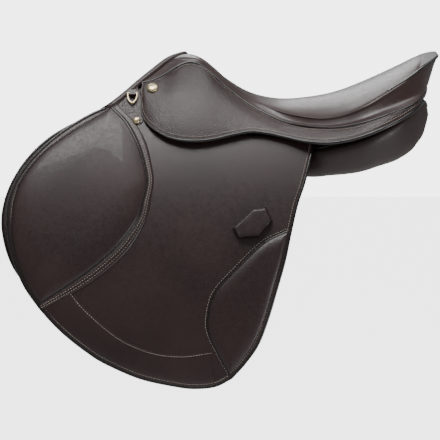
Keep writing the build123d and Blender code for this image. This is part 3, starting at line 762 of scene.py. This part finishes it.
class SADDLE_OT_pommel(bpy.types.Operator):
    """Rolled facing round the head, with its lining"""
    bl_idname = "saddle.pommel"
    bl_label = "Pommel"

    def execute(self, context):
        near = eased(FACING, 10)
        line = np.concatenate([near[::-1], near[1:] * (1, -1, 1)])
        ends = np.sin(np.linspace(0, np.pi, len(line)))
        taper = 1.6 + 4.2 * np.clip(ends * 4.5, 0, 1) ** 0.7
        rolled = tube(line + (-1.5, 0, -2.5), taper, around=16, up=(1, 0, 1.2))
        fit("pommel_roll", rolled, "smooth havana", "seat_leather", "root", ("pommel_facing",))
        cord = tube(line + (3.0, 0, 0.2), 1.2, up=(1, 0, 1.2))
        fit("pommel_piping", cord, "black edge", "seat_leather", "root")
        arch = eased([(172, -79, 4), (172, -78, 50), (172, -57, 94), (172, 0, 117),
                      (172, 57, 94), (172, 78, 50), (172, 79, 4)], 12)
        sleeve = tube(arch, 11.5, around=28, up=(1, 0, 0), squash=1.35)
        fit("head_sleeve", sleeve, "panel leather", "panel_leather", "root", ("tree_head", "head_plate"))
        self.gusset(line)
        self.channel()
        return {"FINISHED"}

    def gusset(self, line):
        """Leather from the rolled facing back to the head sleeve, a ruled sheet 1.8 mm thick."""
        share = spread(line, 61)
        turn = np.linspace(-1, 1, 61)
        high = 122 - 96 * np.abs(turn) ** 2.6
        deep = np.column_stack([np.full(61, 176.0), -81 * np.sin(turn * np.pi / 2), high])
        grid = np.stack([share + (-3, 0, -4), (share + deep) / 2 + (-2, 0, -2), deep])
        sheet = two_skins(grid, grid - (1.2, 0, 1.4))
        fit("head_gusset", sheet, "panel leather", "panel_leather", "root", sharp=60)

    def channel(self):
        """Lining stretched between the panels over the spine channel, arched as a half sine."""
        rows = np.array([(x, p[-2][0] + 3, p[-2][1] + 2) for x, p in PANEL_ROWS[1:]], float)
        rows = eased(rows, 5)
        share = np.linspace(-1, 1, 25)
        roof = np.interp(rows[:, 0], (-200, -120, -20, 60, 130, 200), (74, 54, 42, 44, 60, 74))
        high = rows[:, 2, None] + (roof - rows[:, 2])[:, None] * np.cos(share * np.pi / 2)[None] ** 0.7
        along = np.broadcast_to(rows[:, 0, None], high.shape)
        grid = np.stack([along, rows[:, 1, None] * share[None], high], axis=2)
        lining = two_skins(grid, grid - (0, 0, 2))
        fit("channel_lining", lining, "panel leather", "panel_leather", "root", sharp=60)


# ---- skirts -----------------------------------------------------------------------------------
def skirt_grid(along=8, across=12):
    """The near skirt's outer skin: straight from welt to edge, plus a bulge that is 0.075 of that
    length at the middle and falls off as a parabola."""
    welt = eased([w for w, _ in SKIRT_ROWS], along)
    edge = eased([e for _, e in SKIRT_ROWS], along)
    v = 1 - np.linspace(1, 0, across) ** 1.5
    long = np.linalg.norm(edge - welt, axis=1)[:, None, None]
    line = welt[:, None] + (edge - welt)[:, None] * v[None, :, None]
    return line + OUT_UP * 0.3 * long * (v * (1 - v))[None, :, None]


class SADDLE_OT_skirts(bpy.types.Operator):
    """Skirts with their dyed edges and stitching"""
    bl_idname = "saddle.skirts"
    bl_label = "Skirts"

    def execute(self, context):
        grid = skirt_grid()
        edge = grid[:, -1]
        shell = two_skins(grid, grid - OUT_UP * 4.2)
        down = edge - grid[:, -2]
        down /= np.linalg.norm(down, axis=1, keepdims=True)
        front = even(edge - down * 4.6 + OUT_UP * 0.9, 1.0)
        away = grid[:, 1] - grid[:, 0]
        away /= np.linalg.norm(away, axis=1, keepdims=True)
        top = even(grid[16:-24, 0] + away[16:-24] * 5.0 + OUT_UP * 0.6, 1.0)
        thick = np.interp(np.arange(len(edge)), (0, 24, 40), (1.5, 1.6, 2.5))
        rim = tube(edge - OUT_UP * 2.0, thick, up=OUT_UP)
        thread = joined([stitch_row(line, np.broadcast_to(OUT_UP, line.shape), size("stitch_pitch"))
                         for line in (front, top)])
        for name, side in SIDES:
            fit_set(name, side, "saddle_leather", (
                ("skirt_leather", shell, "grained skirt", None, ("skirt", "skirt_top"), MERGE),
                ("skirt_edge", rim, "black edge", None, (), MERGE),
                ("skirt_stitching", thread, "linen thread", None, (), FINE_MERGE)), ("skirt", SKIRT_FOLD))
        return {"FINISHED"}


# ---- flaps ------------------------------------------------------------------------------------
class SADDLE_OT_flaps(bpy.types.Operator):
    """Big flaps with dyed edges and stitching"""
    bl_idname = "saddle.flaps"
    bl_label = "Flaps"

    def execute(self, context):
        outside = even(np.concatenate([eased(run, 8)[:-1] for run in FLAP_RUNS[:3]]), 3.0)
        leather = patch(loop_of(FLAP_RUNS), FLAP_CENTRE, FLAP_R, FLAP_THICK, 2.2)
        bead = tube(on_round(outside, FLAP_R + 2.2), 2.4, up=(0, 1, 0))
        thread = seam_on_flap(inset_line(outside, -4.6, closed=False), 0.1, size("stitch_pitch"))
        for name, side in SIDES:
            fit_set(name, side, "saddle_leather", (
                ("flap_leather", leather, "smooth havana", None, ("flap", "flap_head"), MERGE),
                ("flap_edge", bead, "black edge", None, (), MERGE),
                ("flap_stitching", thread, "linen thread", None, (), FINE_MERGE)), ("flap", FLAP_FOLD))
        return {"FINISHED"}


class SADDLE_OT_pads(bpy.types.Operator):
    """Padded knee and calf inserts with their bands, piping and double stitching"""
    bl_idname = "saddle.pads"
    bl_label = "Pads"

    def execute(self, context):
        skin = FLAP_R + FLAP_THICK
        base = skin + 0.1
        knee = patch(loop_of((KNEE_INNER, KNEE_FRONT)), KNEE_CENTRE, base, 1.2, 2.0, size("knee_puff"), 46)
        calf = patch(loop_of((CALF_FRONT, CALF_BACK)), CALF_CENTRE, base, 1.0, 2.0, size("calf_puff"), 26)
        inner, outer = eased(KNEE_INNER, 8), eased(KNEE_OUTER, 8)
        band = strip(KNEE_INNER, KNEE_OUTER, skin, 1.6, 0.9)
        piping = tube(on_round(even(inner, 3), skin + 0.9), 1.7, up=(0, 1, 0))
        calf_piping = tube(on_round(even(eased(CALF_FRONT, 8), 3), skin + 0.6), 1.3, up=(0, 1, 0))
        pitch = size("stitch_pitch")
        width = outer - inner
        rows = joined([seam_on_flap(inner + width * share, lift, pitch)    # two rows down the band
                       for share, lift in ((0.40, 2.5), (0.68, 2.4))])
        front = tube(on_round(even(eased(KNEE_FRONT, 8), 3), skin + 0.7), 1.3, up=(0, 1, 0))
        calf_row = seam_on_flap(even(eased(CALF_FRONT, 8), 3) + (3.4, 2.4), 0.2, pitch)
        for name, side in SIDES:
            body = f"flap_body_{name}"
            pad = fit(f"knee_padding_{name}", knee, "soft pad leather", "padded_leather", None,
                      (f"knee_pad_{name}", f"knee_pad_head_{name}"), side=side)
            fold(pad, "flap", FLAP_FOLD, side)
            fit_set(name, side, "saddle_leather", (
                ("knee_band", band, "smooth havana", None, (), FINE_MERGE),
                ("knee_piping", piping, "black edge", None, (), FINE_MERGE),
                ("knee_front_piping", front, "black edge", None, (), FINE_MERGE),
                ("knee_stitching", rows, "linen thread", None, (), FINE_MERGE)), ("flap", FLAP_FOLD))
            calf_pad = fit(f"calf_padding_{name}", calf, "soft pad leather", "padded_leather", body,
                           (f"calf_pad_{name}",), side=side)
            fit_set(name, side, "saddle_leather", (
                ("calf_piping", calf_piping, "black edge", body, (), MERGE),
                ("calf_stitching", calf_row, "linen thread", body, (), FINE_MERGE)))
        return {"FINISHED"}


class SADDLE_OT_trim(bpy.types.Operator):
    """Lower band and strap keeper"""
    bl_idname = "saddle.trim"
    bl_label = "Trim"

    def execute(self, context):
        skin = FLAP_R + FLAP_THICK
        pitch = size("stitch_pitch")
        hem = strip(HEM_TOP, HEM_FOOT, skin, 1.1, 0.3, across=13)
        top = eased(HEM_TOP, 8)
        seam = seam_on_flap(inset_line(top, 2.6, closed=False), 1.3, pitch)
        loop = closed_loop(KEEPER, 2.0, round_off=False)
        centre = loop.mean(axis=0)
        keeper = patch(loop, centre, skin + 6.0, 3.6, 1.6, 0.8, 8, back=2.0, rings=14)
        pebbled = closed_loop(HEAD_PATCH, 3.0)
        head_patch = patch(pebbled, pebbled.mean(axis=0), skin, 0.9, 1.2, rings=12)
        foot_a = strip(((80, -96), (73, -109)), ((74, -94), (67, -106)), skin, 6.5)
        foot_b = strip(((33, -67), (24, -85)), ((38, -70), (30, -87)), skin, 6.5)
        keeper_loop = joined([keeper, foot_a, foot_b])
        border = even(np.concatenate([loop, loop[:1]]), 2.0)
        border = centre + (border - centre) * 0.84
        path = on_round(border, skin + 10.1)
        thread = stitch_row(path, round_normal(path), 3.2, 2.3, 0.35)
        for name, side in SIDES:
            body = f"flap_body_{name}"
            fit_set(name, side, "saddle_leather", (
                ("head_patch", head_patch, "pebbled patch", "root", (), MERGE),
                ("flap_hem", hem, "smooth havana", body, ("lower_band",), MERGE),
                ("hem_stitching", seam, "linen thread", body, (), FINE_MERGE),
                ("keeper_loop", keeper_loop, "smooth havana", body, ("strap_keeper",), MERGE),
                ("keeper_stitching", thread, "black edge", body, (), FINE_MERGE)))
        return {"FINISHED"}


# ---- under the flaps --------------------------------------------------------------------------
class SADDLE_OT_underside(bpy.types.Operator):
    """Sweat flaps, knee and thigh blocks, and panels"""
    bl_idname = "saddle.underside"
    bl_label = "Underside"

    def execute(self, context):
        sweat = patch(loop_of(SWEAT_RUNS), FLAP_CENTRE, SWEAT_R, SWEAT_THICK, 2.0)
        edge = even(np.concatenate([eased(run, 8)[:-1] for run in SWEAT_RUNS[:2]]), 4)
        rim = tube(on_round(edge, SWEAT_R + 2), 2.3, up=(0, 1, 0))
        outside = SWEAT_R + SWEAT_THICK
        knee = patch(closed_loop(KNEE_BLOCK), (338, -70), outside, 2.0, 2.0, 11.0, 18)
        thigh = patch(closed_loop(THIGH_BLOCK), (19, -96), outside, 2.0, 2.0, 8.0, 11)
        for name, side in SIDES:
            fit_set(name, side, "saddle_leather", (
                ("sweat_flap_leather", sweat, "smooth havana", "root", ("sweat_flap",), MERGE),
                ("sweat_flap_edge", rim, "black edge", "root", (), MERGE)))
            for label, shape in (("knee_block", knee), ("thigh_block", thigh)):
                block = fit(f"{label}_padding_{name}", shape, "soft pad leather", "padded_leather", "root",
                            (f"{label}_{name}",), side=side)
            self.panel(name, side)
        return {"FINISHED"}

    def panel(self, name, side):
        """A flocked panel: rounded sections carried from the rear gusset to the head, drawn to a
        point at both ends."""
        rows = []
        for x, points in PANEL_ROWS:
            ring = closed_loop(points, 1.0)
            ring = spread(np.concatenate([ring, ring[:1]]), 49)[:-1]
            rows.append(np.column_stack([np.full(48, x), ring]))
        grid = eased(np.stack(rows), 6)
        tail = grid[0].mean(axis=0) - (2.5, 0, 0)
        nose = grid[-1].mean(axis=0) + (4, 0, 0)
        grid = np.concatenate([np.broadcast_to(tail, (1, 48, 3)), grid, np.broadcast_to(nose, (1, 48, 3))])
        shell = grid, quads(len(grid), 48, wrap_columns=True)
        panel = fit(f"panel_padding_{name}", shell, "panel leather", "panel_leather", "root",
                    (f"panel_{name}",), side=side, sharp=70)
        welt = tube(grid[2:48, 0], 1.6, up=(0, 1, 0))
        fit(f"panel_welt_{name}", welt, "black edge", "panel_leather", "root", side=side)


# ---- metal ------------------------------------------------------------------------------------
def dome(centre, normal, radius, high, rings=10, around=24):
    """A domed nail head: height falls from the middle as the root of one less the radius squared."""
    normal = np.asarray(normal, float) / np.linalg.norm(normal)
    first = np.cross(normal, (1.0, 0, 0))
    first /= np.linalg.norm(first)
    second = np.cross(normal, first)
    share = np.sin(np.linspace(0, np.pi / 2, rings))[:, None, None]
    turn = np.linspace(0, 2 * np.pi, around, endpoint=False)[None, :, None]
    across = (first * np.cos(turn) + second * np.sin(turn)) * radius * share
    top = centre + across + normal * high * np.sqrt(np.clip(1 - share**2, 0, 1))
    base = centre + across - normal * 1.2
    return two_skins(top, base, wrap=True)


def node_middle(name):
    """A frame node's middle in millimetres."""
    low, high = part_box(name)
    return (np.array(low) + np.array(high)) / 2 / MM


class SADDLE_OT_metal(bpy.types.Operator):
    """Brass nails, studs and dees, and finishes for the frame's own metal, wood and straps"""
    bl_idname = "saddle.metal"
    bl_label = "Metal and straps"

    def execute(self, context):
        nail_at, stud_at = node_middle("skirt_nail_left"), node_middle("flap_stud_left")
        nail = dome(nail_at - (0, 0.6, 0.6), (0, 0.69, 0.72), 8.2, 3.4)
        stud = dome(stud_at - (0, 1.0, 0.6), (0, 0.87, 0.5), 5.4, 3.2)
        half, drop = 6.6, 9.3
        curve = eased([(-half, 0), (-half, drop * 0.55), (-half * 0.72, drop * 1.35), (0, drop * 1.83),
                       (half * 0.72, drop * 1.35), (half, drop * 0.55), (half, 0)], 8)
        bar = np.stack([np.linspace(half, -half, 9)[1:-1], np.zeros(7)], axis=1)
        flat = np.concatenate([curve, bar])
        hinge = node_middle("dee_chape_left")
        out = np.array((0, hinge[1] - ROUND_Y, hinge[2] - ROUND_Z))
        out /= np.linalg.norm(out)
        down = np.array((0, out[2], -out[1]))
        path = hinge + (0.4, 0, 0.2) + flat[:, :1] * np.array((1.0, 0, 0)) + flat[:, 1:] * down
        dee = tube(path, 1.5, around=12, up=out, closed=True)
        for name, side in SIDES:
            fit_set(name, side, "brass", (
                ("skirt_nail_head", nail, "brass", "root", ("skirt_nail",), MERGE),
                ("flap_stud_head", stud, "brass", "root", ("flap_stud",), MERGE),
                ("dee", dee, "brass", f"dee_body_{name}", ("dee_ring",), MERGE)))
        looks = {"steel": "forged steel", "tree_wood": "laminated beech", "webbing": "web cloth",
                 "strap_leather": "strap leather", "brass": "brass"}
        slots = {s["node"]: s["material_slot"] for s in frame["record"]["subparts"]}
        for name, piece in frame["nodes"].items():
            look = bpy.data.materials[looks.get(slots[name], "smooth havana")]
            if "chape" in name:
                look = bpy.data.materials["smooth havana"]
            if not piece.data.materials:
                piece.data.materials.append(look)
            for index in range(len(piece.material_slots)):
                piece.material_slots[index].material = look
        return {"FINISHED"}


class SADDLE_PT_panel(bpy.types.Panel):
    """Lists the saddle's steps in the sidebar"""
    bl_label = "Saddle"
    bl_idname = "SADDLE_PT_panel"
    bl_space_type = "VIEW_3D"
    bl_region_type = "UI"
    bl_category = "Saddle"

    def draw(self, context):
        for group in (context.scene.saddle_sizes, context.scene.saddle_colours):
            for key in group.bl_rna.properties.keys():
                if key not in {"rna_type", "name"}:
                    self.layout.prop(group, key)
        for step in STEPS:
            self.layout.operator(step.bl_idname)


STEPS = (SADDLE_OT_stage, SADDLE_OT_finishes, SADDLE_OT_seat, SADDLE_OT_pommel, SADDLE_OT_skirts,
         SADDLE_OT_flaps, SADDLE_OT_pads, SADDLE_OT_trim, SADDLE_OT_underside, SADDLE_OT_metal)
CLASSES = (SaddleSizes, SaddleColours, *STEPS, SADDLE_PT_panel)


def register():
    for kind in CLASSES:
        bpy.utils.register_class(kind)
    bpy.types.Scene.saddle_sizes = bpy.props.PointerProperty(type=SaddleSizes)
    bpy.types.Scene.saddle_colours = bpy.props.PointerProperty(type=SaddleColours)


def unregister():
    del bpy.types.Scene.saddle_sizes
    del bpy.types.Scene.saddle_colours
    for kind in reversed(CLASSES):
        bpy.utils.unregister_class(kind)


def main():
    register()
    for step in STEPS:
        family, name = step.bl_idname.split(".")
        getattr(getattr(bpy.ops, family), name)()


if __name__ == "__main__":
    main()
